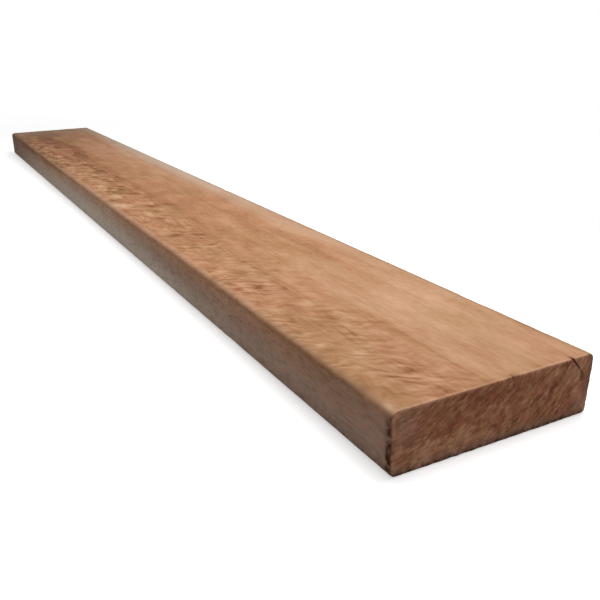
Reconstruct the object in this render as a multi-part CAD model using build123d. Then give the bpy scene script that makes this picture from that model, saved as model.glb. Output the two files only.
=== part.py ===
from build123d import *
from math import atan2, cos, sin
import os

# A planed softwood board, 38 x 140 mm in section and 1219 mm (4 ft) long, lying on its wide face.
# Millimetres. The length runs along X, the width along Y and the thickness along Z.
# The origin is the middle of the underside, and +X points to the end that has dried out and split.

# Stock size
board_length = 1219.0
board_width = 140.0
board_thickness = 38.0

# The long edges are eased, the near ones and the upper ones more than the others.
upper_near_radius = 5.0
upper_far_radius = 4.0
lower_near_radius = 4.0
lower_far_radius = 3.0

# The far edge was sawn out of square: its foot lies this far in from its head.
far_edge_lean = 2.5

# The saw leaves the edges of the two ends almost sharp.
end_edge_radius = 0.7

# Clefts in the +X end. Each path runs down the end from the upper face, and its points are
# (distance in from the far edge, drop from the upper face). A cleft is widest where it opens on
# the end and the upper face: that is its gape. Its reach is how far it runs back along the grain.
drying_split_path = ((17.3, 0.0), (10.6, 7.4), (8.2, 12.5))
drying_split_gape = 1.8
drying_split_reach = 26.0

# A finer check leaves the drying split at the top and follows a growth ring the other way.
ring_check_path = ((18.6, 0.0), (23.5, 10.9), (32.0, 16.4))
ring_check_gape = 0.7
ring_check_reach = 9.0

# A splinter has broken out of the upper edge beside the middle.
splinter_path = ((61.7, 0.0), (61.2, 1.9))
splinter_gape = 3.2
splinter_reach = 6.0

# A cleft closes to this width at its foot and at the back.
cleft_tip_width = 0.12

# At the back a cleft is this share of its depth on the end: it rises as it runs out.
cleft_root_share = 0.35

# How far a cutting shape stands past the surface that it opens.
cut_overrun = 1.0


def make_blank():
    """The planed length with its edges eased, before it dries out."""
    near = -board_width / 2
    lean = atan2(far_edge_lean, board_thickness)
    # Easing the head of a leaning edge takes this much off its widest point.
    taken_off = upper_far_radius * ((1 + sin(lean)) / cos(lean) - 1)
    far = board_width / 2 + taken_off
    corners = {
        (near, 0.0): lower_near_radius,
        (far - far_edge_lean, 0.0): lower_far_radius,
        (far, board_thickness): upper_far_radius,
        (near, board_thickness): upper_near_radius,
    }
    section = make_face(Polyline(*corners, close=True))
    for corner, radius in corners.items():
        section = fillet(section.vertices().sort_by_distance(corner)[0], radius)
    blank = extrude(across_grain(-board_length / 2) * section, board_length)
    return fillet(blank.faces().filter_by(Axis.X).edges(), end_edge_radius)


def across_grain(x):
    """The plane square to the grain at x, with its own x axis along the board's width."""
    return Plane(origin=(x, 0, 0), x_dir=(0, 1, 0), z_dir=(1, 0, 0))


def cleft_outline(path, head_width):
    """A crooked wedge along the path: head_width wide at its head, almost closed at its foot."""
    left_side = []
    right_side = []
    last = len(path) - 1
    for i, point in enumerate(path):
        along = (path[min(i + 1, last)] - path[max(i - 1, 0)]).normalized()
        half_width = (head_width + (cleft_tip_width - head_width) * i / last) / 2
        sideways = Vector(-along.Y, along.X) * half_width
        left_side.append(point + sideways)
        right_side.append(point - sideways)
    return make_face(Polyline(*left_side, *reversed(right_side), close=True))


def make_cleft(path, gape, reach):
    """The wedge of air in a cleft, from in front of the end to where it runs out in the grain."""
    on_end = [Vector(board_width / 2 - inset, board_thickness - drop) for inset, drop in path]
    head = on_end[0]
    above_face = head - (on_end[1] - head).normalized() * cut_overrun
    mouth_path = [above_face] + on_end[1:]
    root_path = [above_face] + [head + (point - head) * cleft_root_share for point in on_end[1:]]
    mouth = across_grain(board_length / 2 + cut_overrun) * cleft_outline(mouth_path, gape)
    root = across_grain(board_length / 2 - reach) * cleft_outline(root_path, cleft_tip_width)
    return loft([root, mouth], ruled=True)


def make_board():
    board = make_blank()
    board -= make_cleft(drying_split_path, drying_split_gape, drying_split_reach)
    board -= make_cleft(ring_check_path, ring_check_gape, ring_check_reach)
    board -= make_cleft(splinter_path, splinter_gape, splinter_reach)
    return board


os.makedirs("parts", exist_ok=True)
export_step(make_board(), "parts/board.step")
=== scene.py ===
import math
import random

import bmesh
import bpy
from mathutils import Euler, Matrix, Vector
from bpy.props import FloatProperty, FloatVectorProperty, IntProperty, PointerProperty


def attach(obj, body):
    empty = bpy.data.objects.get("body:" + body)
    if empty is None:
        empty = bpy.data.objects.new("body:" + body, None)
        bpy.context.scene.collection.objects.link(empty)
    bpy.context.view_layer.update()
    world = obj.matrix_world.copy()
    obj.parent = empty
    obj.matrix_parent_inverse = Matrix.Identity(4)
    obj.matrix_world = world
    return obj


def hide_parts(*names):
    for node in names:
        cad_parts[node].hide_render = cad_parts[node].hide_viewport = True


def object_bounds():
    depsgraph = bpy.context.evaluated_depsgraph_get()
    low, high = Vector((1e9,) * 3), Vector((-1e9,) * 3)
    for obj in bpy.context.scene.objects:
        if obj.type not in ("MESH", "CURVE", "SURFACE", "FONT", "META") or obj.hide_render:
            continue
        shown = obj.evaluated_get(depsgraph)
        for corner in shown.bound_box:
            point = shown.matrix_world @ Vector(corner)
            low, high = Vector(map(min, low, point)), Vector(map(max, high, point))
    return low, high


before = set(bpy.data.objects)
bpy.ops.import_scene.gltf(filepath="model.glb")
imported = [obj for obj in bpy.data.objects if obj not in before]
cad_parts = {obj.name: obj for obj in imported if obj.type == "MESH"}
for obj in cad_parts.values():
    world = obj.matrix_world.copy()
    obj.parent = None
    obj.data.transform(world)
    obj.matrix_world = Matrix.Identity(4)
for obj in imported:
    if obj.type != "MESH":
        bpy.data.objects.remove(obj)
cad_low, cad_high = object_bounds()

bl_info = {
    "name": "Planed softwood board",
    "version": (1, 0, 0),
    "blender": (4, 5, 0),
    "location": "3D View > Sidebar > Timber",
    "description": "Dresses a planed softwood board with its grain, worn edges and split end",
    "category": "Object",
}

MM = 0.001
BOARD_LENGTH = cad_high.x - cad_low.x
BOARD_WIDTH = cad_high.y - cad_low.y
BOARD_THICKNESS = cad_high.z - cad_low.z

# The camera's place, in metres, and turn, in degrees, solved from the photograph's vanishing points
CAMERA_PLACE = (0.87024, -0.25695, 0.21499)
CAMERA_TURN = (69.6838, 1.0249, 61.7330)
SENSOR_WIDTH = 36.0

# Soft lamps, in metres: width, place, and the point that each faces
KEY_LAMP = (0.8, (0.34, 0.25, 1.0), (0.22, 0.0, 0.0))
FILL_LAMP = (0.7, (-0.1, -1.1, 0.35), (0.0, -0.07, 0.02))

# The floor, in metres: half its side, the gap under the board, and the distances from the board's
# middle between which the shaded paper fades into plain white, counted less along the board
FLOOR_HALF_SIDE = 40.0
FLOOR_GAP = 0.05 * MM
SHADE_FADES = (0.16, 0.42)
SHADE_STRETCH = (0.3, 1.0, 0.0)
# The shaded paper as it is seen: its tone, and the light of its own that lifts it
PAPER_TONE = 0.9
PAPER_LIFT = 0.5

# Noise runs mostly between these two values
NOISE_LOW, NOISE_HIGH = 0.25, 0.75
NOISE_ROUGHNESS = 0.55

WOOD_IOR = 1.5
FALSE_RINGS_A_YEAR = 2

# Clefts in the +X end, in mm: points down the end, as distance in from the far edge and drop from
# the upper face, then the gape at the upper face and the reach back along the grain
CLEFTS = {
    "drying_split": (((17.3, 0.0), (10.6, 7.4), (8.2, 12.5)), 1.8, 26.0),
    "ring_check": (((18.6, 0.0), (23.5, 10.9), (32.0, 16.4)), 0.7, 9.0),
    "splinter": (((61.7, 0.0), (61.2, 1.9)), 3.2, 6.0),
}
# Of every cleft, in mm: the width at its foot and at its root, how far its walls stray, and how far
# the cutter stands out of the board
CLEFT_TIP_WIDTH = 0.12
CLEFT_HAIRLINE = 0.01
CLEFT_RAGGEDNESS = 0.22
CLEFT_OVERRUN = 1.0
# The share of its depth that is left at its root, and how fast it narrows towards there
CLEFT_ROOT_SHARE = 0.35
CLEFT_NARROWING = 9
CLEFT_STEPS_DOWN, CLEFT_STEPS_BACK = 10, 8

# The board's mesh: steps round an eased edge, round the wear of an end, and in from an end's rim
ARC_STEPS = 6
WEAR_STEPS = 3
CAP_STEPS = 12
# Points closer than this, in metres, are merged, an edge is sharp above this angle, in degrees, and
# a board with fewer faces hasn't come out whole
WELD_DISTANCE = 0.02 * MM
SHARP_ANGLE = 40
FEWEST_FACES = 1000

# The saw's arcs across the ends, in mm
SAW_CENTRE = (0, 60, -260)
SAW_PITCH = 3.2

# Swirls where the tree's surface had a dip or a bump, so that the rings arch over on the upper
# face, in mm: x, y, half length of the steep side and of the gentle side, half breadth, and lift
# of the rings. They lean along the board, and die away below the upper face.
SWIRLS = (
    (545, -80, 56, 90, 38, -16),
    (395, -78, 50, 66, 36, -14),
    (262, -77, 46, 58, 35, -13),
    (140, -75, 40, 48, 33, -12),
    (48, -72, 26, 32, 28, -7),
    (2, -48, 18, 22, 13, 6),
    (-46, -46, 17, 20, 13, 6),
    (-100, -70, 28, 32, 26, -7),
    (-205, -74, 50, 70, 32, -8),
    (-330, -74, 60, 80, 32, -8),
    (-470, -72, 70, 120, 32, -8),
)
SWIRL_LEAN = 0.6
SWIRL_DEPTH = 30.0

# Places that are darker or paler than the rest, some of them painted shade and painted highlights
# as
# marked: x, y, z, three half sizes, all in mm, and the change of tone
MARKS_AND_PAINTED_LIGHT = (
    # on the upper face and its arrises
    # painted shade: the upper face darkens towards the far end, where less light falls on it
    (-640, 0, 38, 150, 160, 80, -0.26),
    (-420, 0, 38, 220, 160, 80, -0.08),
    (-600, -40, 38, 260, 50, 60, -0.10),
    (20, -16, 38, 260, 13, 20, -0.13),
    # painted highlight along the near upper arris
    (0, -66.8, 38, 900, 1.6, 3, 0.07),
    (-420, -66, 38, 160, 5, 5, -0.14),
    # painted shade on the lower half of the near upper arris
    (480, -69.4, 35.6, 230, 1.4, 2.1, -0.16),
    # painted highlight at the near upper corner of the split end
    (604, -67.6, 37.6, 5, 2.2, 2, 0.34),
    (385, 36, 38, 140, 4.5, 6, -0.18),
    (-85, 47, 38, 50, 4, 6, -0.18),
    (565, -8, 38, 80, 3.6, 5, -0.17),
    (-505, -29, 38, 36, 6.5, 8, -0.60),
    (-562, -14, 38, 30, 9, 8, -0.56),
    (-270, 32, 38, 160, 30, 16, 0.17),
    (300, 20, 38, 50, 18, 10, -0.10),
    (450, 44, 38, 60, 24, 10, 0.11),
    (470, 0, 38, 110, 24, 14, 0.09),
    (-575, -20, 38, 50, 14, 14, -0.14),
    # painted sheen along the far side of the upper face
    (-150, 54, 38, 300, 14, 10, 0.07),
    (-45, -54, 38, 80, 14, 6, 0.12),
    (-62, -30, 38, 9, 3.5, 6, 0.24),
    (-44, -36, 38, 7, 3.5, 6, -0.30),
    (-70, -19, 38, 16, 3, 6, -0.26),
    (49, -51, 38, 13, 7, 6, -0.24),
    (49, -51, 38, 7, 3.4, 6, 0.55),
    (80, 1, 38, 10, 9, 6, 0.12),
    (54, -2, 38, 8, 8, 6, -0.12),
    (284, -32, 38, 8, 3, 5, -0.22),
    (542, -46, 38, 10, 3, 4, 0.14),
    (540, 30, 38, 150, 50, 20, 0.16),
    (300, 56, 38, 60, 16, 8, 0.14),
    (-380, -18, 38, 150, 14, 16, -0.22),
    (0, 56, 38, 70, 14, 8, 0.10),
    (8, -44, 38, 14, 8, 6, -0.28),
    (8, -44, 38, 6.5, 3.6, 6, 0.50),
    (-83, -51, 38, 17, 8, 6, -0.22),
    (-83, -51, 38, 8, 4, 6, 0.44),
    (-23, -51, 38, 12, 4, 6, 0.26),
    (381, -18, 38, 6, 3, 5, -0.28),
    (419, -30, 38, 4, 3, 5, -0.28),
    (240, -49, 38, 6, 7, 5, -0.34),
    (249, -32, 38, 7, 5, 5, -0.16),
    (411, -48, 38, 6, 3.5, 5, -0.26),
    (479, -56, 38, 3.4, 3, 4, -0.28),
    (522, -60, 38, 3.4, 3, 3, 0.30),
    (92, -56, 38, 11, 6, 6, 0.28),
    (66, -55, 38, 9, 4, 6, 0.24),
    (110, 25, 38, 120, 60, 16, -0.06),
    (-200, -32, 38, 90, 30, 16, -0.07),
    # on the long edge in front
    # painted shade: the long edge in front darkens towards the far end
    (-520, -70, 33, 130, 3, 7, -0.58),
    (-540, -70, 10, 110, 3, 14, -0.70),
    (560, -70, 32, 150, 2, 5, -0.10),
    (-250, -70, 33, 90, 3, 6, -0.28),
    (-250, -70, 19, 90, 3, 6, 0.14),
    (250, -70, 18, 70, 3, 7, -0.34),
    # on the split end
    (610, -46, 9, 4, 18, 8, 0.32),
    (610, -40, 34, 4, 7, 4, 0.20),
    (610, -7, 28, 4, 10, 6, -0.26),
    (610, 24, 12, 4, 32, 20, -0.18),
    (610, 25, 20, 4, 6, 6, -0.14),
    # painted shade along the ring check, standing in for a wider shaded gap
    (610, 48.8, 34.6, 4, 1.2, 2.2, -0.48),
    (610, 47.2, 30.8, 4, 1.2, 2.2, -0.40),
    (610, 45, 27.4, 4, 1.5, 2, -0.42),
    (610, 41.6, 24.6, 4, 2, 1.7, -0.42),
    (610, 37.6, 22, 4, 2.2, 1.5, -0.44),
    (610, 56, 24, 4, 7, 8, 0.10),
    # painted highlight along the upper arris of the split end
    (609.5, 0, 38.3, 1.3, 300, 1.3, 0.62),
    (610, -10, 22, 4, 6, 5, 0.24),
    (610, 5, 19, 4, 4, 6, 0.14),
    (610, -5, 10, 4, 5, 2, -0.18),
    # painted highlight down the near arris of the split end
    (610, -68.4, 26, 1.5, 1.1, 9, 0.34),
    (610, -68.6, 14.5, 3, 1.8, 4.5, -0.40),
    (610, 0, 30, 4, 90, 12, -0.14),
    (610, -37, 20, 4, 13, 6, -0.32),
    (610, -16, 10, 4, 8, 5, 0.32),
    (610, -20, 35, 4, 10, 4, -0.20),
    (610, 42, 32, 4, 9, 5, 0.22),
    (610, 66, 20, 4, 5, 10, -0.24),
    (610, 35, 9, 4, 5, 5, 0.22),
    (610, 15, 9, 4, 5, 5, 0.18),
    (610, 55, 10, 4, 5, 5, -0.12),
    (610, 63, 31, 4, 4, 5, 0.20),
    # painted shade beside the drying split
    (610, 61.4, 26.4, 4, 1.3, 2.8, -0.44),
)

# Darker spots in the edges and on the long edge in front, much of it painted shade as marked: the
# same, with the share that it covers
DIRT_AND_PAINTED_SHADE = (
    # painted shade down the torn near arris of the split end
    (607.8, -70.3, 16, 2.9, 1, 21, 1.50),
    # painted contact shadow along the foot of the split end
    (609.5, 0, -0.4, 2, 300, 3.1, 1.30),
    # painted shade about the mouth and side of the drying split
    (610, 58.5, 31.5, 5, 2.6, 4, 0.36),
    (609.5, 53.2, 36.2, 2.5, 2, 1.9, 1.10),
    (609.5, 68.8, 16, 2.5, 1.7, 22, 0.62),
    (330, -70, 24, 220, 3, 12, 0.24),
    # painted shade in the nick of the splinter
    (609.5, 9, 37.6, 3, 3, 1.8, 1.00),
    # painted shade along the far upper arris
    (0, 67, 37.8, 900, 2.2, 3, 0.55),
    (-609.5, 0, 38, 12, 300, 3, 0.55),
    # painted shade along the foot of the long edge near the split end
    (590, -70, 0, 110, 2, 8, 0.60),
    # painted shade just below the near upper arris
    (0, -70.1, 34.5, 900, 1.6, 1.9, 0.30),
    # painted shade at the far end of the long edge in front
    (-620, -70, 19, 130, 3, 40, 0.60),
)

# Places on the long edge in front that are greyer than the rest, or less grey: the same, with the
# change in the share of grey
GREYER = (
    (600, -70, 31, 60, 5, 9, 0.34),
    (-250, -70, 32, 110, 5, 8, -0.30),
)

# Wood worn pale and dusty, and painted light, in the same terms: the far side of the upper face,
# a painted sheen; the long edge in front, painted light thrown up from the floor; its arris, a
# painted highlight; the edges and the foot of the split end, and the far end of the upper face
RUBS_AND_PAINTED_LIGHT = (
    # painted sheen along the far side of the upper face
    (-200, 66, 38, 420, 16, 12, 0.72),
    # painted light thrown up from the floor onto the lower long edge in front
    (-20, -70, 9, 370, 6, 16, 1.00),
    (260, -70, 4, 80, 6, 7, 0.35),
    (-340, -70, 1, 150, 6, 7, 0.28),
    # painted highlight along the near upper arris
    (60, -67.2, 38, 620, 1.8, 3, 0.14),
    (609.5, -62, 27, 4, 9, 12, 0.15),
    (609.5, 0, 2, 4, 90, 3.4, 0.24),
    (609.5, 66.5, 14, 3, 3.2, 16, 0.16),
    (609.5, 61, 7.5, 3, 4, 4, 0.16),
    (-640, -10, 38, 110, 110, 16, 0.34),
)


def linear(code):
    """An sRGB hex colour, such as c08a64, as linear red, green and blue."""
    channels = [int(code[i:i + 2], 16) / 255 for i in (0, 2, 4)]
    return tuple(c / 12.92 if c <= 0.04045 else ((c + 0.055) / 1.055) ** 2.4 for c in channels)


def opaque(colour):
    """A colour with full alpha, as the colour sockets take it."""
    return (*colour, 1.0)


def length(name, description, millimetres):
    """A size that the user can change, stated in millimetres and kept in metres."""
    return FloatProperty(
        name=name, description=description, default=millimetres * MM, min=0.0,
        precision=5, unit="LENGTH", subtype="DISTANCE",
    )


def colour(name, description, code):
    """A colour that the user can change, stated as sRGB hex and kept linear."""
    return FloatVectorProperty(
        name=name, description=description, default=linear(code), min=0.0, max=1.0,
        size=3, subtype="COLOR",
    )


class BoardShape(bpy.types.PropertyGroup):
    upper_near_radius: length("Upper near radius", "Easing of the upper edge in front", 5.0)
    upper_far_radius: length("Upper far radius", "Easing of the upper edge behind", 4.0)
    lower_near_radius: length("Lower near radius", "Easing of the lower edge in front", 4.0)
    lower_far_radius: length("Lower far radius", "Easing of the lower edge behind", 3.0)
    far_edge_lean: length("Far edge lean", "How far the far edge's foot lies inside its head", 2.5)
    end_edge_radius: length("End edge radius", "Wear of the sawn edges of the ends", 0.7)
    point_spacing: length("Point spacing", "Distance between points round the section", 1.6)
    station_spacing: length("Station spacing", "Distance between sections along the board", 3.6)
    close_station_spacing: length("Close spacing", "The same beside the split end", 1.5)
    close_reach: length("Close reach", "How far the close sections go back from that end", 42.0)
    ring_relief: length("Ring relief", "How far the soft part of a ring sinks in", 0.06)
    edge_wear: length("Edge wear", "Depth of the deepest dents along the edges", 0.45)
    end_roughness: length("End roughness", "Depth of the torn fibres on the sawn ends", 0.30)
    saw_mark_depth: length("Saw mark depth", "Depth of the saw's arcs across the ends", 0.12)
    seed: IntProperty(name="Seed", description="Seed of the torn edges in the clefts", default=7)


class GrainFigure(bpy.types.PropertyGroup):
    pith_across: FloatProperty(
        name="Pith across", description="Where the heart of the tree lies across the width",
        default=-72 * MM, precision=4, unit="LENGTH", subtype="DISTANCE",
    )
    pith_height: length("Pith height", "Height of the heart of the tree above the underside", 148.0)
    ring_width: length("Ring width", "One year's growth", 2.8)
    wander: length("Wander", "Slow sideways drift of the grain", 5.0)
    curl: length("Curl", "Short waves of the grain beside the near edge", 2.0)
    taper: FloatProperty(
        name="Taper", description="Slope of the rings along the board", default=0.008, precision=4
    )


class WoodColours(bpy.types.PropertyGroup):
    deep: colour("Deep", "The darkest latewood", "774b2a")
    middle: colour("Middle", "The board's general tone", "ae7f5b")
    pale: colour("Pale", "The palest earlywood", "cea684")
    end_deep: colour("End, deep", "Dark blotches of the sawn ends", "663925")
    end_middle: colour("End, middle", "General tone of the sawn ends", "a6694d")
    end_pale: colour("End, pale", "Pale blotches of the sawn ends", "d09f7c")
    reddish: colour("Reddish", "Patches that lean to red", "b06a58")
    olive: colour("Olive", "Patches that lean to olive", "94794c")
    edge_grey: colour("Edge grey", "Greyed wood of the long edges", "9c8071")
    # also the colour of painted sheen, painted highlights and painted light thrown up from the
    # floor
    rubbed_and_lit: colour("Rubbed", "Wood rubbed pale and dusty", "c3b3a2")
    # also the colour of painted shade in the edges and beside the clefts
    dirt_and_shade: colour("Dirt", "Dirt lodged in the edges", "401d0e")
    # painted shade: a darker colour for the shaded insides of the narrow clefts
    crack_shade: colour("Crack", "The dark inside of the clefts", "6b4630")


class StudioSettings(bpy.types.PropertyGroup):
    lens: FloatProperty(name="Lens", description="Focal length", default=44.49, unit="CAMERA")
    key_power: FloatProperty(
        name="Key power", description="Power of the soft lamp above", default=10.0, unit="POWER"
    )
    fill_power: FloatProperty(
        name="Fill power", description="Power of the soft lamp in front", default=1.0, unit="POWER"
    )
    sky: FloatProperty(
        name="Sky", description="Brightness of the light from all round", default=0.33
    )
    floor_bounce: FloatProperty(
        name="Floor bounce", description="How much light the floor throws back", default=0.52
    )


def add(tree, kind, inputs=(), **settings):
    """Adds a node, sets its own settings, and fills or links its inputs in order or by name."""
    node = tree.nodes.new(kind)
    for name, value in settings.items():
        setattr(node, name, value)
    open_inputs = [socket for socket in node.inputs if socket.enabled]
    by_name = {socket.name: socket for socket in reversed(open_inputs)}
    pairs = inputs.items() if isinstance(inputs, dict) else enumerate(inputs)
    for key, value in pairs:
        socket = by_name[key] if isinstance(key, str) else open_inputs[key]
        if isinstance(value, bpy.types.Node):
            value = next(output for output in value.outputs if output.enabled)
        if isinstance(value, bpy.types.NodeSocket):
            tree.links.new(value, socket)
        else:
            socket.default_value = value
    return node


def empty_material(name):
    """A new material without nodes, and its tree."""
    material = bpy.data.materials.new(name)
    material.use_nodes = True
    material.node_tree.nodes.clear()
    return material, material.node_tree


def waves(tree, point, lengths, detail=2.0, roughness=NOISE_ROUGHNESS):
    """Noise with waves of the given lengths in mm along each axis."""
    scale = tuple(1 / length_mm for length_mm in lengths)
    stretched = add(tree, "ShaderNodeVectorMath", (point, scale), operation="MULTIPLY")
    return add(tree, "ShaderNodeTexNoise", (stretched, 1.0, detail, roughness))


def centred_noise(tree, point, lengths, strength, detail=2.0):
    """Noise of such waves, between about -strength and strength."""
    noise = waves(tree, point, lengths, detail)
    return add(
        tree, "ShaderNodeMapRange", (noise, NOISE_LOW, NOISE_HIGH, -strength, strength), clamp=False
    )


def distance_from_line(tree, point, centre):
    """How far a point is from a line through the centre that runs along the board."""
    spoke = add(tree, "ShaderNodeVectorMath", (point, centre), operation="SUBTRACT")
    spoke = add(tree, "ShaderNodeVectorMath", (spoke, (0, 1, 1)), operation="MULTIPLY")
    return add(tree, "ShaderNodeVectorMath", (spoke,), operation="LENGTH")


def growth_rings(tree, place, figure):
    """The rule of the grain, for the shape and the finish alike, from a point of the board.

    Rings are cones round the heart of the tree. They wander slowly, curl beside the near edge and
    arch over the swirls. Returns the point in mm, the distance from the heart, how far a point is
    in latewood, how curly the grain is there, and the point in a space that leans with the curls.
    """
    point = add(tree, "ShaderNodeVectorMath", (place, 1 / MM), operation="SCALE")
    apart = add(tree, "ShaderNodeSeparateXYZ", (point,))
    along, across = apart.outputs["X"], apart.outputs["Y"]

    # Slow wander of the grain: waves about 200 mm long and 60 mm wide
    wander = waves(tree, point, (200, 60, 60), 1.0, 0.5).outputs["Color"]
    wander = add(tree, "ShaderNodeVectorMath", (wander, (0.5, 0.5, 0.5)), operation="SUBTRACT")
    reach = 2 * figure.wander / MM
    bent = add(
        tree, "ShaderNodeVectorMath", (wander, (0, reach, reach), point), operation="MULTIPLY_ADD"
    )

    # Curl: waves about 30 mm long that lean along the board, only on its near third
    curly = add(
        tree, "ShaderNodeMapRange", (across, -40.0, 6.0, 1.0, 0.0), interpolation_type="SMOOTHSTEP"
    )
    leaning = add(tree, "ShaderNodeMath", (across, -SWIRL_LEAN, along), operation="MULTIPLY_ADD")
    slanted = add(tree, "ShaderNodeCombineXYZ", (leaning, across, apart.outputs["Z"]))
    curl = waves(tree, slanted, (26, 30, 30), 3.0)
    curl = add(tree, "ShaderNodeMath", (curl, 0.5), operation="SUBTRACT")
    curl = add(tree, "ShaderNodeMath", (curl, curly), operation="MULTIPLY")

    heart = (0.0, figure.pith_across / MM, figure.pith_height / MM)
    radius = distance_from_line(tree, bent, heart)
    radius = add(
        tree, "ShaderNodeMath", (curl, 2 * figure.curl / MM, radius), operation="MULTIPLY_ADD"
    )
    radius = add(tree, "ShaderNodeMath", (along, figure.taper, radius), operation="MULTIPLY_ADD")
    for x, y, steep, gentle, half_breadth, lift in SWIRLS:
        centre = (x - SWIRL_LEAN * y, y, BOARD_THICKNESS / MM)
        swell = soft_spot(
            tree, slanted, centre, (steep, half_breadth, SWIRL_DEPTH), lift, tail=gentle
        )
        radius = add(tree, "ShaderNodeMath", (radius, swell), operation="ADD")

    # Good and bad years: the ring count runs ahead or behind by up to about one ring. Within a year
    # the latewood darkens slowly and ends sharply, and some years leave a fainter ring.
    years = add(tree, "ShaderNodeMath", (radius, MM / figure.ring_width), operation="MULTIPLY")
    weather = add(tree, "ShaderNodeTexNoise", (years, 0.22, 2.0, 0.6), noise_dimensions="1D")
    years = add(tree, "ShaderNodeMath", (weather, 2.4, years), operation="MULTIPLY_ADD")
    season = add(tree, "ShaderNodeMath", (years,), operation="FRACT")
    rise = add(
        tree, "ShaderNodeMapRange", (season, 0.12, 0.70, 0.0, 1.0), interpolation_type="SMOOTHSTEP"
    )
    fall = add(
        tree, "ShaderNodeMapRange", (season, 0.74, 1.0, 1.0, 0.0), interpolation_type="SMOOTHSTEP"
    )
    latewood = add(tree, "ShaderNodeMath", (rise, fall), operation="MULTIPLY")
    year = add(tree, "ShaderNodeMath", (years,), operation="FLOOR")
    strength = add(tree, "ShaderNodeTexWhiteNoise", (year,), noise_dimensions="1D")
    strength = add(tree, "ShaderNodeMapRange", (strength, 0.0, 1.0, 0.3, 1.0))
    latewood = add(tree, "ShaderNodeMath", (latewood, strength), operation="MULTIPLY")

    # Some stretches of a ring are faint
    faint = waves(tree, slanted, (24, 16, 16), 1.0, 0.5)
    faint = add(tree, "ShaderNodeMapRange", (faint, 0.38, 0.62, 0.25, 1.0))
    latewood = add(tree, "ShaderNodeMath", (latewood, faint), operation="MULTIPLY")

    # False rings: finer and paler lines between the years, where the grain is curly
    turns = 2 * math.pi * FALSE_RINGS_A_YEAR
    false_rings = add(tree, "ShaderNodeMath", (years, turns), operation="MULTIPLY")
    false_rings = add(tree, "ShaderNodeMath", (false_rings,), operation="SINE")
    false_rings = add(tree, "ShaderNodeMapRange", (false_rings, -0.4, 1.0, 0.0, 0.34))
    false_rings = add(tree, "ShaderNodeMath", (false_rings, curly), operation="MULTIPLY")
    latewood = add(tree, "ShaderNodeMath", (latewood, false_rings), operation="MAXIMUM")

    return point, radius, latewood, curly, slanted


def soft_spot(tree, point, centre, half_sizes, strength, tail=None):
    """A number that is strength at the centre and dies away over the half sizes, all in mm.

    With a tail, that is the half size towards +X instead.
    """
    offset = add(tree, "ShaderNodeVectorMath", (point, centre), operation="SUBTRACT")
    away = add(tree, "ShaderNodeVectorMath", (offset, half_sizes), operation="DIVIDE")
    if tail:
        longer = (tail, *half_sizes[1:])
        longer = add(tree, "ShaderNodeVectorMath", (offset, longer), operation="DIVIDE")
        away = add(tree, "ShaderNodeVectorMath", (away, longer), operation="MINIMUM")
    away = add(tree, "ShaderNodeVectorMath", (away, away), operation="DOT_PRODUCT")
    away = add(tree, "ShaderNodeMath", (away, -1.0), operation="MULTIPLY")
    swell = add(tree, "ShaderNodeMath", (away,), operation="EXPONENT")
    return add(tree, "ShaderNodeMath", (swell, strength), operation="MULTIPLY")


def spots(tree, point, rows):
    """Soft spots from rows of x, y, z, three half sizes and the strength."""
    return [soft_spot(tree, point, row[:3], row[3:6], row[6]) for row in rows]


def summed(tree, parts):
    """The sum of several nodes or numbers."""
    total = parts[0]
    for part in parts[1:]:
        total = add(tree, "ShaderNodeMath", (total, part), operation="ADD")
    return total


def end_mask(tree, point):
    """1 on the two sawn ends, 0 on the long faces."""
    apart = add(tree, "ShaderNodeSeparateXYZ", (point,))
    reach = add(tree, "ShaderNodeMath", (apart.outputs["X"],), operation="ABSOLUTE")
    half = BOARD_LENGTH / 2 / MM
    return add(
        tree, "ShaderNodeMapRange", (reach, half - 1.1, half - 0.55, 0.0, 1.0),
        interpolation_type="SMOOTHSTEP",
    )


def wood_colour(tree, point, tone, shades, patch_lengths, patch_share, colours):
    """The wood's colour for a tone of about 0 to 1, with patches that lean to red or to olive."""
    deep, middle, pale = shades
    ramp = add(tree, "ShaderNodeValToRGB", (tone,))
    stops = ramp.color_ramp.elements
    stops[0].position, stops[0].color = 0.05, opaque(deep)
    stops[1].position, stops[1].color = 0.95, opaque(pale)
    stops.new(0.5).color = opaque(middle)
    hue = centred_noise(tree, point, patch_lengths, 0.5, detail=3.0)
    hue = add(tree, "ShaderNodeMapRange", (hue, -0.25, 0.25, 0.0, 1.0))
    leanings = (hue, opaque(colours.reddish), opaque(colours.olive))
    leaning = add(tree, "ShaderNodeMix", leanings, data_type="RGBA")
    return add(tree, "ShaderNodeMix", (patch_share, ramp, leaning), data_type="RGBA")


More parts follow.
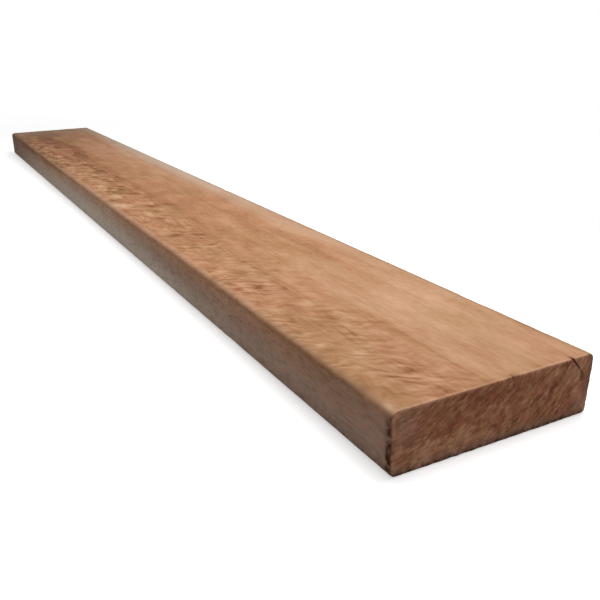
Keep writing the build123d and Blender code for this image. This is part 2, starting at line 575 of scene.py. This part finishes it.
def planed_softwood(figure, colours):
    """Planed softwood, brown and unsealed.

    The planer leaves it smooth but not shiny: broad soft reflections, pale earlywood, thin darker
    latewood lines, fine streaks along the fibres, and slow changes of tone between years. The sawn
    ends drink in the light and are darker and mottled, and the edges have greyed a little.
    """
    material, tree = empty_material("softwood_planed")
    place = add(tree, "ShaderNodeTexCoord").outputs["Object"]
    point, radius, latewood, curly, slanted = growth_rings(tree, place, figure)
    apart = add(tree, "ShaderNodeSeparateXYZ", (point,))
    ends = end_mask(tree, point)

    # Tone between years: bands of four to ten rings, which come and go along the board
    slow = add(tree, "ShaderNodeMath", (apart.outputs["X"], 1 / 300), operation="MULTIPLY")
    count = add(tree, "ShaderNodeMath", (radius, 1 / 12), operation="MULTIPLY")
    bands = add(tree, "ShaderNodeCombineXYZ", (slow, count))
    bands = add(tree, "ShaderNodeTexNoise", (bands, 1.0, 2.5, 0.6))
    bands = add(
        tree, "ShaderNodeMapRange", (bands, NOISE_LOW, NOISE_HIGH, -0.10, 0.10), clamp=False
    )
    streaks = centred_noise(tree, point, (110.0, 2.6, 2.6), 0.05)
    fibres = centred_noise(tree, point, (16.0, 0.7, 0.7), 0.06)
    clouds = centred_noise(tree, point, (46.0, 18.0, 18.0), 0.18, detail=5.0)

    # Small flecks where the grain is straight
    flecks = centred_noise(tree, point, (9.0, 1.9, 1.9), 0.12, detail=3.0)
    straight = add(tree, "ShaderNodeMath", (1.0, curly), operation="SUBTRACT")
    flecks = add(tree, "ShaderNodeMath", (flecks, straight), operation="MULTIPLY")

    # The two long edges, which handling has greyed and dulled
    side = add(tree, "ShaderNodeMath", (apart.outputs["Y"],), operation="ABSOLUTE")
    half_width = BOARD_WIDTH / 2 / MM
    side = add(
        tree, "ShaderNodeMapRange", (side, half_width - 2.1, half_width - 0.5, 0.0, 1.0),
        interpolation_type="SMOOTHSTEP",
    )

    # Where the grain is curly it is also more marked, but not on the arris and the edge below it.
    # Towards the split end the curls are tighter, and the rings and patches are fainter.
    inside = add(
        tree, "ShaderNodeMapRange", (apart.outputs["Y"], -69.5, -65.5, 0.0, 1.0),
        interpolation_type="SMOOTHSTEP",
    )
    marked = add(tree, "ShaderNodeMath", (curly, inside), operation="MULTIPLY")
    flat_sawn = add(tree, "ShaderNodeMapRange", (ends, 0.0, 1.0, 1.0, 0.3))
    marked = add(tree, "ShaderNodeMath", (marked, flat_sawn), operation="MULTIPLY")
    tight = add(
        tree, "ShaderNodeMapRange", (apart.outputs["X"], 120.0, 330.0, 0.0, 1.0),
        interpolation_type="SMOOTHSTEP",
    )
    line_depth = add(tree, "ShaderNodeMapRange", (tight, 0.0, 1.0, -0.32, -0.14))
    line_depth = add(
        tree, "ShaderNodeMath", (line_depth, marked, -0.06), operation="MULTIPLY_ADD"
    )
    lines = add(tree, "ShaderNodeMath", (latewood, line_depth), operation="MULTIPLY")
    patches = centred_noise(tree, point, (20.0, 8.0, 8.0), 1.0, detail=2.0)
    patch_depth = add(tree, "ShaderNodeMapRange", (tight, 0.0, 1.0, 0.24, 0.06))
    patches = add(tree, "ShaderNodeMath", (patches, patch_depth), operation="MULTIPLY")
    patches = add(tree, "ShaderNodeMath", (patches, marked), operation="MULTIPLY")

    # Curls: short waves that lie aslant across the board, sway by some 6 mm and come in clusters
    sway = centred_noise(tree, slanted, (34.0, 20.0, 20.0), 6.0)
    swayed = add(tree, "ShaderNodeCombineXYZ", (sway,))
    swayed = add(tree, "ShaderNodeVectorMath", (slanted, swayed), operation="ADD")
    loose_curls = centred_noise(tree, swayed, (11.0, 22.0, 22.0), 0.34, detail=2.5)
    tight_curls = centred_noise(tree, swayed, (5.5, 13.0, 13.0), 0.32, detail=2.0)
    curls = add(tree, "ShaderNodeMix", (tight, loose_curls, tight_curls), data_type="FLOAT")
    clusters = centred_noise(tree, point, (60.0, 26.0, 26.0), 0.5)
    clusters = add(tree, "ShaderNodeMapRange", (clusters, -0.35, 0.35, 0.4, 1.35))
    curl_depth = add(tree, "ShaderNodeMath", (clusters, marked, 0.12), operation="MULTIPLY_ADD")
    curls = add(tree, "ShaderNodeMath", (curls, curl_depth), operation="MULTIPLY")
    parts = (0.55, bands, streaks, fibres, clouds, flecks, curls, patches, lines)
    # The tone takes in the marks, among them painted shade and painted highlights
    tone = summed(tree, (*parts, *spots(tree, point, MARKS_AND_PAINTED_LIGHT)))
    shades = (colours.deep, colours.middle, colours.pale)
    upper = wood_colour(tree, point, tone, shades, (80, 24, 24), 0.15, colours)

    # The long edges are greyest low down, which also stands in for paler light thrown up from the
    # floor, and high up only towards the split end
    grey_and_bounce_low_down = add(tree, "ShaderNodeMapRange", (apart.outputs["Z"], 33.0, 12.0, 0.16, 0.85))
    uneven = centred_noise(tree, point, (26.0, 8.0, 8.0), 0.22, detail=3.0)
    uneven = summed(tree, (grey_and_bounce_low_down, uneven, *spots(tree, point, GREYER)))
    greyed = add(tree, "ShaderNodeMath", (side, uneven), operation="MULTIPLY", use_clamp=True)
    face = add(tree, "ShaderNodeMix", (greyed, upper, opaque(colours.edge_grey)), data_type="RGBA")

    # The sawn ends are darker, with blotches, some of which lean to red or to olive. Blotches and
    # specks are drawn out along the rings.
    ringed = add(
        tree, "ShaderNodeCombineXYZ", (apart.outputs["X"], apart.outputs["Y"], radius)
    )
    blotches = centred_noise(tree, ringed, (9.0, 9.0, 6.0), 0.27, detail=3.0)
    specks = centred_noise(tree, ringed, (4.0, 4.0, 2.1), 0.38, detail=3.5)
    crowds = centred_noise(tree, point, (30.0, 13.0, 8.0), 0.5)
    crowds = add(tree, "ShaderNodeMapRange", (crowds, -0.35, 0.35, 0.45, 1.55))
    specks = add(tree, "ShaderNodeMath", (specks, crowds), operation="MULTIPLY")
    end_lines = add(tree, "ShaderNodeMath", (latewood, -0.12), operation="MULTIPLY")
    end_tone = summed(tree, (tone, blotches, specks, end_lines, 0.01))
    shades = (colours.end_deep, colours.end_middle, colours.end_pale)
    end_face = wood_colour(tree, point, end_tone, shades, (20, 9, 9), 0.22, colours)
    face = add(tree, "ShaderNodeMix", (ends, face, end_face), data_type="RGBA")

    # Worn pale and dusty, and painted light: sheen on the far side, light from the floor low on the
    # long edge in front, and a highlight on its arris
    rubbed_and_lit = summed(tree, spots(tree, point, RUBS_AND_PAINTED_LIGHT))
    face = add(tree, "ShaderNodeMix", (rubbed_and_lit, face, opaque(colours.rubbed_and_lit)), data_type="RGBA")

    # Smudges and specks of dust on the long edges
    smudged = centred_noise(tree, point, (14.0, 4.5, 4.5), 0.5, detail=4.0)
    smudged = add(tree, "ShaderNodeMapRange", (smudged, -0.4, 0.4, -0.04, 0.16))
    grain = centred_noise(tree, point, (9.0, 1.9, 1.9), 0.28, detail=3.0)
    smudged = add(tree, "ShaderNodeMath", (smudged, grain), operation="ADD")
    smudged = add(tree, "ShaderNodeMath", (smudged, side), operation="MULTIPLY")
    face = add(tree, "ShaderNodeMix", (smudged, face, opaque(colours.dirt_and_shade)), data_type="RGBA")

    # Dirt and painted shade in the edges, in crumbs
    dirt_and_shade_cover = summed(tree, spots(tree, point, DIRT_AND_PAINTED_SHADE))
    crumbs = centred_noise(tree, point, (3.0, 3.0, 4.2), 0.6, detail=3.0)
    crumbs = add(tree, "ShaderNodeMapRange", (crumbs, -0.40, 0.35, 0.15, 1.0))
    dirt_and_shade_cover = add(tree, "ShaderNodeMath", (dirt_and_shade_cover, crumbs), operation="MULTIPLY", use_clamp=True)
    face = add(tree, "ShaderNodeMix", (dirt_and_shade_cover, face, opaque(colours.dirt_and_shade)), data_type="RGBA")

    # Relief too fine for the mesh: fibres, ring edges and pores on the ends
    pores = centred_noise(tree, point, (0.9, 0.9, 0.9), 0.5, detail=2.0)
    pores = add(tree, "ShaderNodeMath", (pores, ends), operation="MULTIPLY")
    height = summed(
        tree,
        (
            add(tree, "ShaderNodeMath", (fibres, 4.0), operation="MULTIPLY"),
            add(tree, "ShaderNodeMath", (latewood, 0.5), operation="MULTIPLY"),
            add(tree, "ShaderNodeMath", (pores, 2.2), operation="MULTIPLY"),
        ),
    )
    bump = add(tree, "ShaderNodeBump", {"Strength": 0.5, "Distance": 0.15 * MM, "Height": height})

    # Pale wood is a little smoother than dark, and dirt and painted shade are matt
    rough = add(tree, "ShaderNodeMapRange", (tone, 0.2, 0.9, 0.86, 0.78))
    rough = add(tree, "ShaderNodeMix", (dirt_and_shade_cover, rough, 0.98), data_type="FLOAT")
    shader = add(
        tree, "ShaderNodeBsdfPrincipled",
        {
            "Base Color": face, "Roughness": rough, "IOR": WOOD_IOR, "Normal": bump,
            "Specular IOR Level": 0.12,
        },
    )
    add(tree, "ShaderNodeOutputMaterial", {"Surface": shader})
    return material


def torn_softwood(colours):
    """Wood torn along the fibres inside a split, coloured darker as painted shade of the narrow
    gap: matt, with stringy relief.
    """
    material, tree = empty_material("softwood_torn")
    place = add(tree, "ShaderNodeTexCoord").outputs["Object"]
    point = add(tree, "ShaderNodeVectorMath", (place, 1 / MM), operation="SCALE")
    strings = centred_noise(tree, point, (14.0, 0.7, 0.7), 0.5)
    blend = add(tree, "ShaderNodeMath", (strings, 0.5), operation="ADD")
    shades = (blend, opaque(colours.crack_shade), opaque(colours.deep))
    shade = add(tree, "ShaderNodeMix", shades, data_type="RGBA")
    bump = add(tree, "ShaderNodeBump", {"Strength": 0.6, "Distance": 0.3 * MM, "Height": strings})
    shader = add(
        tree, "ShaderNodeBsdfPrincipled",
        {"Base Color": shade, "Roughness": 0.85, "IOR": WOOD_IOR, "Normal": bump},
    )
    add(tree, "ShaderNodeOutputMaterial", {"Surface": shader})
    return material


def section_points(shape):
    """The board's section: for each point its place (y, z), the way out (y, z) and its wear.

    It starts at the lower near edge and runs under the board to the far side. Opposite faces have
    the same number of points, so that the ends can be closed with a regular mesh.
    """
    near, far = cad_low.y, cad_high.y
    low, high = cad_low.z, cad_high.z
    lean = math.atan2(shape.far_edge_lean, high - low)
    head = far + shape.upper_far_radius * ((1 + math.sin(lean)) / math.cos(lean) - 1)
    corners = [
        (Vector((near, low)), shape.lower_near_radius),
        (Vector((head - shape.far_edge_lean, low)), shape.lower_far_radius),
        (Vector((head, high)), shape.upper_far_radius),
        (Vector((near, high)), shape.upper_near_radius),
    ]
    across = round((far - near) / shape.point_spacing)
    up = round((high - low) / shape.point_spacing)
    arcs = []
    for i, (corner, radius) in enumerate(corners):
        before = (corners[i - 1][0] - corner).normalized()
        after = (corners[(i + 1) % 4][0] - corner).normalized()
        half_angle = before.angle(after) / 2
        centre = corner + (before + after).normalized() * radius / math.sin(half_angle)
        start = corner + before * radius / math.tan(half_angle) - centre
        turn = math.pi - 2 * half_angle
        arc = []
        for step in range(ARC_STEPS + 1):
            angle = turn * step / ARC_STEPS
            out = Vector((
                start.x * math.cos(angle) - start.y * math.sin(angle),
                start.x * math.sin(angle) + start.y * math.cos(angle),
            ))
            worn = math.sin(math.pi * step / ARC_STEPS)
            arc.append((centre + out, out.normalized(), worn))
        arcs.append(arc)
    points = []
    for i, arc in enumerate(arcs):
        points += arc
        start, out, _ = arc[-1]
        end = arcs[(i + 1) % 4][0][0]
        steps = up if i % 2 else across
        for step in range(1, steps):
            points.append((start.lerp(end, step / steps), out.copy(), 0.0))
    return points, across, up


def spine_points(across, up):
    """For each point of the section, its place on the middle line of the end, as y and z."""
    half_thickness = BOARD_THICKNESS / 2
    near = Vector((cad_low.y + half_thickness, half_thickness))
    far = Vector((cad_high.y - half_thickness, half_thickness))
    underside = [near.lerp(far, step / across) for step in range(1, across)]
    arc = ARC_STEPS + 1
    return (
        [near] * arc + underside + [far] * arc + [far] * (up - 1)
        + [far] * arc + underside[::-1] + [near] * arc + [near] * (up - 1)
    )


def stations(shape):
    """Places along the board, each with how far the section is drawn in there by the worn ends."""
    half = BOARD_LENGTH / 2
    worn = shape.end_edge_radius
    turned = []
    for step in range(WEAR_STEPS):
        angle = math.pi / 2 * (1 - step / WEAR_STEPS)
        turned.append((half - worn * (1 - math.sin(angle)), worn * (1 - math.cos(angle))))
    close_start = half - shape.close_reach
    coarse = round((close_start + half - worn) / shape.station_spacing)
    close = round((shape.close_reach - worn) / shape.close_station_spacing)
    middle = [
        (-half + worn + (close_start + half - worn) * i / coarse, 0.0) for i in range(coarse)
    ]
    middle += [
        (close_start + (shape.close_reach - worn) * i / close, 0.0) for i in range(close + 1)
    ]
    return [(-x, inset) for x, inset in turned] + middle + turned[::-1]


def board_mesh(shape):
    """The board as a skin over its sections, closed at both ends by rings down to a middle line."""
    points, across, up = section_points(shape)
    spine = spine_points(across, up)
    round_count = len(points)
    rows = []
    for x, inset in stations(shape):
        worn_end = 1.0 if inset > 0 else 0.0
        rows.append([
            (Vector((x, place.x - out.x * inset, place.y - out.y * inset)), max(worn, worn_end))
            for place, out, worn in points
        ])
    for end in (0, -1):
        outer = rows[end]
        caps = []
        for step in range(1, CAP_STEPS + 1):
            share = step / CAP_STEPS
            caps.append([
                (place.lerp(Vector((place.x, middle.x, middle.y)), share), 0.0)
                for (place, _), middle in zip(outer, spine)
            ])
        rows = caps[::-1] + rows if end == 0 else rows + caps
    verts = [place for row in rows for place, _ in row]
    worn = [value for row in rows for _, value in row]
    faces = []
    for row in range(len(rows) - 1):
        for i in range(round_count):
            a, b = row * round_count + i, row * round_count + (i + 1) % round_count
            faces.append((a, a + round_count, b + round_count, b))
    mesh = bpy.data.meshes.new("planed_board")
    mesh.from_pydata(verts, [], faces)
    mesh.attributes.new("worn_edge", "FLOAT", "POINT").data.foreach_set("value", worn)
    shell = bmesh.new()
    shell.from_mesh(mesh)
    bmesh.ops.remove_doubles(shell, verts=shell.verts, dist=WELD_DISTANCE)
    bmesh.ops.recalc_face_normals(shell, faces=shell.faces)
    shell.to_mesh(mesh)
    shell.free()
    return mesh


def relief_tree(figure, wood):
    """Geometry Nodes that sink the skin where the wood is soft, worn, sawn or torn, never out."""
    tree = bpy.data.node_groups.new("timber_relief", "GeometryNodeTree")
    tree.interface.new_socket("Geometry", in_out="INPUT", socket_type="NodeSocketGeometry")
    for name in ("Ring relief", "Edge wear", "End roughness", "Saw mark depth"):
        tree.interface.new_socket(name, in_out="INPUT", socket_type="NodeSocketFloat")
    tree.interface.new_socket("Geometry", in_out="OUTPUT", socket_type="NodeSocketGeometry")
    given = add(tree, "NodeGroupInput").outputs
    place = add(tree, "GeometryNodeInputPosition")
    point, _, latewood, *_ = growth_rings(tree, place, figure)
    ends = end_mask(tree, point)
    long_faces = add(tree, "ShaderNodeMath", (1.0, ends), operation="SUBTRACT")

    soft = add(tree, "ShaderNodeMath", (1.0, latewood), operation="SUBTRACT")
    soft = add(tree, "ShaderNodeMath", (soft, long_faces), operation="MULTIPLY")
    rings = add(tree, "ShaderNodeMath", (soft, given["Ring relief"]), operation="MULTIPLY")

    # Dents along the edges: long with the grain, only where the noise peaks
    dents = centred_noise(tree, point, (16.0, 7.0, 7.0), 1.0, detail=2.5)
    dents = add(
        tree, "ShaderNodeMapRange", (dents, 0.0, 1.2, 0.06, 1.0), interpolation_type="SMOOTHSTEP"
    )
    worn = add(tree, "GeometryNodeInputNamedAttribute", ("worn_edge",), data_type="FLOAT")
    dents = add(tree, "ShaderNodeMath", (dents, worn.outputs["Attribute"]), operation="MULTIPLY")
    edges = add(tree, "ShaderNodeMath", (dents, given["Edge wear"]), operation="MULTIPLY")

    # Torn fibres on the ends, and the arcs that the saw blade left across them
    torn = centred_noise(tree, point, (40.0, 2.6, 2.6), 0.5, detail=3.0)
    torn = add(tree, "ShaderNodeMapRange", (torn, -0.5, 0.5, 0.0, 1.0))
    torn = add(tree, "ShaderNodeMath", (torn, given["End roughness"]), operation="MULTIPLY")
    blade = distance_from_line(tree, point, SAW_CENTRE)
    blade = add(tree, "ShaderNodeMath", (blade, 2 * math.pi / SAW_PITCH), operation="MULTIPLY")
    blade = add(tree, "ShaderNodeMath", (blade,), operation="SINE")
    blade = add(tree, "ShaderNodeMapRange", (blade, -1.0, 1.0, 0.0, 1.0))
    marks = add(tree, "ShaderNodeMath", (blade, given["Saw mark depth"]), operation="MULTIPLY")
    sawn = add(tree, "ShaderNodeMath", (torn, marks), operation="ADD")
    sawn = add(tree, "ShaderNodeMath", (sawn, ends), operation="MULTIPLY")

    depth = summed(tree, (rings, edges, sawn))
    depth = add(tree, "ShaderNodeMath", (depth, -1.0), operation="MULTIPLY")
    offset = add(
        tree, "ShaderNodeVectorMath",
        (add(tree, "GeometryNodeInputNormal"), depth), operation="SCALE",
    )
    sunk = add(
        tree, "GeometryNodeSetPosition", {"Geometry": given["Geometry"], "Offset": offset}
    )
    real = add(tree, "GeometryNodeRealizeInstances", {"Geometry": sunk})
    dressed = add(tree, "GeometryNodeSetMaterial", {"Geometry": real, "Material": wood})
    add(tree, "NodeGroupOutput", (dressed,))
    return tree


def made_real(piece):
    """Replaces a piece's mesh by what its modifiers make of it, and removes the modifiers."""
    bpy.context.view_layer.update()
    graph = bpy.context.evaluated_depsgraph_get()
    finished = bpy.data.meshes.new_from_object(piece.evaluated_get(graph))
    old = piece.data
    name = old.name
    piece.modifiers.clear()
    piece.data = finished
    bpy.data.meshes.remove(old)
    finished.name = name


def cleft_cutter(name, torn, seed):
    """A crooked wedge: widest where it opens on the end and the upper face, closing inwards."""
    path, gape, reach = CLEFTS[name]
    far, high, end = cad_high.y / MM, cad_high.z / MM, cad_high.x / MM
    on_end = [Vector((far - inset, high - drop)) for inset, drop in path]
    head = on_end[0]
    above = head - (on_end[1] - head).normalized() * CLEFT_OVERRUN
    mouth = [above] + on_end[1:]
    root = [above] + [head + (point - head) * CLEFT_ROOT_SHARE for point in on_end[1:]]
    jitter = random.Random(seed)
    crooked = [
        Vector((jitter.uniform(-1, 1), jitter.uniform(-1, 1))) * CLEFT_RAGGEDNESS
        for _ in range(CLEFT_STEPS_DOWN + 1)
    ]
    crooked[0] = Vector((0, 0))
    rows = []
    for back in range(CLEFT_STEPS_BACK + 1):
        share = back / CLEFT_STEPS_BACK
        x = end + CLEFT_OVERRUN - (reach + CLEFT_OVERRUN) * share
        width = CLEFT_HAIRLINE + (gape - CLEFT_HAIRLINE) * (1 - share) ** CLEFT_NARROWING
        line = [a.lerp(b, share) for a, b in zip(mouth, root)]
        centres = []
        for down in range(CLEFT_STEPS_DOWN + 1):
            at = down / CLEFT_STEPS_DOWN * (len(line) - 1)
            i = min(int(at), len(line) - 2)
            centres.append(line[i].lerp(line[i + 1], at - i) + crooked[down] * (1 - share))
        left, right = [], []
        for down, centre in enumerate(centres):
            ahead = centres[min(down + 1, CLEFT_STEPS_DOWN)]
            behind = centres[max(down - 1, 0)]
            along = (ahead - behind).normalized()
            foot = min(width, CLEFT_TIP_WIDTH)
            half = (width + (foot - width) * down / CLEFT_STEPS_DOWN) / 2
            side = Vector((-along.y, along.x)) * half
            left.append(centre + side)
            right.append(centre - side)
        rows.append([Vector((x, p.x, p.y)) * MM for p in left + right[::-1]])
    count = len(rows[0])
    last = count * CLEFT_STEPS_BACK
    faces = [tuple(range(count)), tuple(range(last, last + count))]
    for row in range(CLEFT_STEPS_BACK):
        for i in range(count):
            a, b = row * count + i, row * count + (i + 1) % count
            faces.append((a, b, b + count, a + count))
    mesh = bpy.data.meshes.new(name)
    mesh.from_pydata([place for row in rows for place in row], [], faces)
    wedge = bmesh.new()
    wedge.from_mesh(mesh)
    bmesh.ops.recalc_face_normals(wedge, faces=wedge.faces)
    wedge.to_mesh(mesh)
    wedge.free()
    mesh.materials.append(torn)
    cutter = bpy.data.objects.new(name, mesh)
    bpy.context.scene.collection.objects.link(cutter)
    return cutter


class TIMBER_OT_plane_board(bpy.types.Operator):
    """Build the planed board with its grain relief, worn edges and split end"""

    bl_idname = "timber.plane_board"
    bl_label = "Plane board"

    def execute(self, context):
        scene = context.scene
        shape, figure, colours = scene.timber_shape, scene.timber_figure, scene.timber_colours
        wood = planed_softwood(figure, colours)
        torn = torn_softwood(colours)
        board = bpy.data.objects.new("planed_board", board_mesh(shape))
        scene.collection.objects.link(board)

        tree = relief_tree(figure, wood)
        relief = board.modifiers.new("Relief", "NODES")
        relief.node_group = tree
        depths = {
            "Ring relief": shape.ring_relief,
            "Edge wear": shape.edge_wear,
            "End roughness": shape.end_roughness,
            "Saw mark depth": shape.saw_mark_depth,
        }
        for item in tree.interface.items_tree:
            if item.in_out == "INPUT" and item.name in depths:
                relief[item.identifier] = depths[item.name]
        made_real(board)

        cutters = [
            cleft_cutter(name, torn, shape.seed + i) for i, name in enumerate(CLEFTS)
        ]
        for cutter in cutters:
            cut = board.modifiers.new(cutter.name, "BOOLEAN")
            cut.operation = "DIFFERENCE"
            cut.solver = "MANIFOLD"
            cut.material_mode = "TRANSFER"
            cut.object = cutter
        made_real(board)
        for cutter in cutters:
            bpy.data.objects.remove(cutter)
        board.data.shade_smooth()
        board.data.set_sharp_from_angle(angle=math.radians(SHARP_ANGLE))
        if len(board.data.polygons) < FEWEST_FACES:
            raise RuntimeError("the board came out empty")
        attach(board, "root")
        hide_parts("board")
        return {"FINISHED"}


def background_rays(tree):
    """1 for rays that see the white background: from the camera, off gloss and through glass."""
    rays = add(tree, "ShaderNodeLightPath").outputs
    kinds = ("Is Camera Ray", "Is Glossy Ray", "Is Transmission Ray")
    return add(tree, "ShaderNodeClamp", (summed(tree, [rays[kind] for kind in kinds]),))


def floor_paper(bounce):
    """White studio paper: matt. It shows white, with the board's shadow on it."""
    material, tree = empty_material("studio_paper")
    seen = background_rays(tree)
    paper = add(tree, "ShaderNodeBsdfDiffuse", {"Color": (bounce, bounce, bounce, 1.0)})
    tone = (PAPER_TONE, PAPER_TONE, PAPER_TONE, 1.0)
    white = add(tree, "ShaderNodeBsdfDiffuse", {"Color": tone})
    lift = add(tree, "ShaderNodeEmission", {"Color": (1, 1, 1, 1), "Strength": PAPER_LIFT})
    near = add(tree, "ShaderNodeAddShader", (white, lift))
    far = add(tree, "ShaderNodeEmission", {"Color": (1, 1, 1, 1), "Strength": 1.0})
    place = add(tree, "ShaderNodeTexCoord").outputs["Object"]
    away = add(tree, "ShaderNodeVectorMath", (place, SHADE_STRETCH), operation="MULTIPLY")
    away = add(tree, "ShaderNodeVectorMath", (away,), operation="LENGTH")
    away = add(
        tree, "ShaderNodeMapRange", (away, *SHADE_FADES, 0.0, 1.0), interpolation_type="SMOOTHSTEP"
    )
    shown = add(tree, "ShaderNodeMixShader", (away, near, far))
    surface = add(tree, "ShaderNodeMixShader", (seen, paper, shown))
    add(tree, "ShaderNodeOutputMaterial", {"Surface": surface})
    return material


def soft_lamp(name, power, width, place, aim):
    """A round softbox of the given width, in metres, turned to a point."""
    light = bpy.data.lights.new(name, "AREA")
    light.shape = "DISK"
    light.size = width
    light.energy = power
    lamp = bpy.data.objects.new(name, light)
    lamp.location = place
    lamp.rotation_euler = (Vector(aim) - Vector(place)).to_track_quat("-Z", "Y").to_euler()
    bpy.context.scene.collection.objects.link(lamp)


class TIMBER_OT_set_stage(bpy.types.Operator):
    """Lay the floor, hang the lamps, set the sky and place the camera"""

    bl_idname = "timber.set_stage"
    bl_label = "Set stage"

    def execute(self, context):
        scene = context.scene
        studio = scene.timber_studio
        corners = [
            (x * FLOOR_HALF_SIDE, y * FLOOR_HALF_SIDE, -FLOOR_GAP)
            for x, y in ((-1, -1), (1, -1), (1, 1), (-1, 1))
        ]
        mesh = bpy.data.meshes.new("studio_floor")
        mesh.from_pydata(corners, [], [(0, 1, 2, 3)])
        mesh.materials.append(floor_paper(studio.floor_bounce))
        floor = bpy.data.objects.new("studio_floor", mesh)
        scene.collection.objects.link(floor)

        soft_lamp("key", studio.key_power, *KEY_LAMP)
        soft_lamp("fill", studio.fill_power, *FILL_LAMP)

        world = bpy.data.worlds.new("studio")
        world.use_nodes = True
        tree = world.node_tree
        tree.nodes.clear()
        seen = background_rays(tree)
        level = add(tree, "ShaderNodeMapRange", (seen, 0.0, 1.0, studio.sky, 1.0))
        sky = add(tree, "ShaderNodeBackground", {"Color": (1, 1, 1, 1), "Strength": level})
        add(tree, "ShaderNodeOutputWorld", {"Surface": sky})
        scene.world = world

        view = bpy.data.cameras.new("camera")
        view.lens = studio.lens
        view.sensor_width = SENSOR_WIDTH
        view.clip_start = 0.01
        view.clip_end = 200.0
        camera = bpy.data.objects.new("camera", view)
        camera.location = CAMERA_PLACE
        camera.rotation_euler = Euler([math.radians(angle) for angle in CAMERA_TURN])
        scene.collection.objects.link(camera)
        scene.camera = camera
        scene.view_settings.view_transform = "Standard"
        return {"FINISHED"}


class TIMBER_PT_board(bpy.types.Panel):
    bl_idname = "TIMBER_PT_board"
    bl_label = "Planed board"
    bl_space_type = "VIEW_3D"
    bl_region_type = "UI"
    bl_category = "Timber"

    def draw(self, context):
        layout = self.layout
        for operator in OPERATORS:
            layout.operator(operator.bl_idname)
        for holder in SETTINGS:
            group = getattr(context.scene, holder)
            box = layout.box()
            for name in group.__annotations__:
                box.prop(group, name)


OPERATORS = (TIMBER_OT_plane_board, TIMBER_OT_set_stage)
SETTINGS = {
    "timber_shape": BoardShape,
    "timber_figure": GrainFigure,
    "timber_colours": WoodColours,
    "timber_studio": StudioSettings,
}
CLASSES = (*SETTINGS.values(), *OPERATORS, TIMBER_PT_board)


def register():
    for each in CLASSES:
        bpy.utils.register_class(each)
    for holder, group in SETTINGS.items():
        setattr(bpy.types.Scene, holder, PointerProperty(type=group))


def unregister():
    for holder in SETTINGS:
        delattr(bpy.types.Scene, holder)
    for each in reversed(CLASSES):
        bpy.utils.unregister_class(each)


def main():
    register()
    bpy.ops.timber.plane_board()
    bpy.ops.timber.set_stage()


if __name__ == "__main__":
    main()
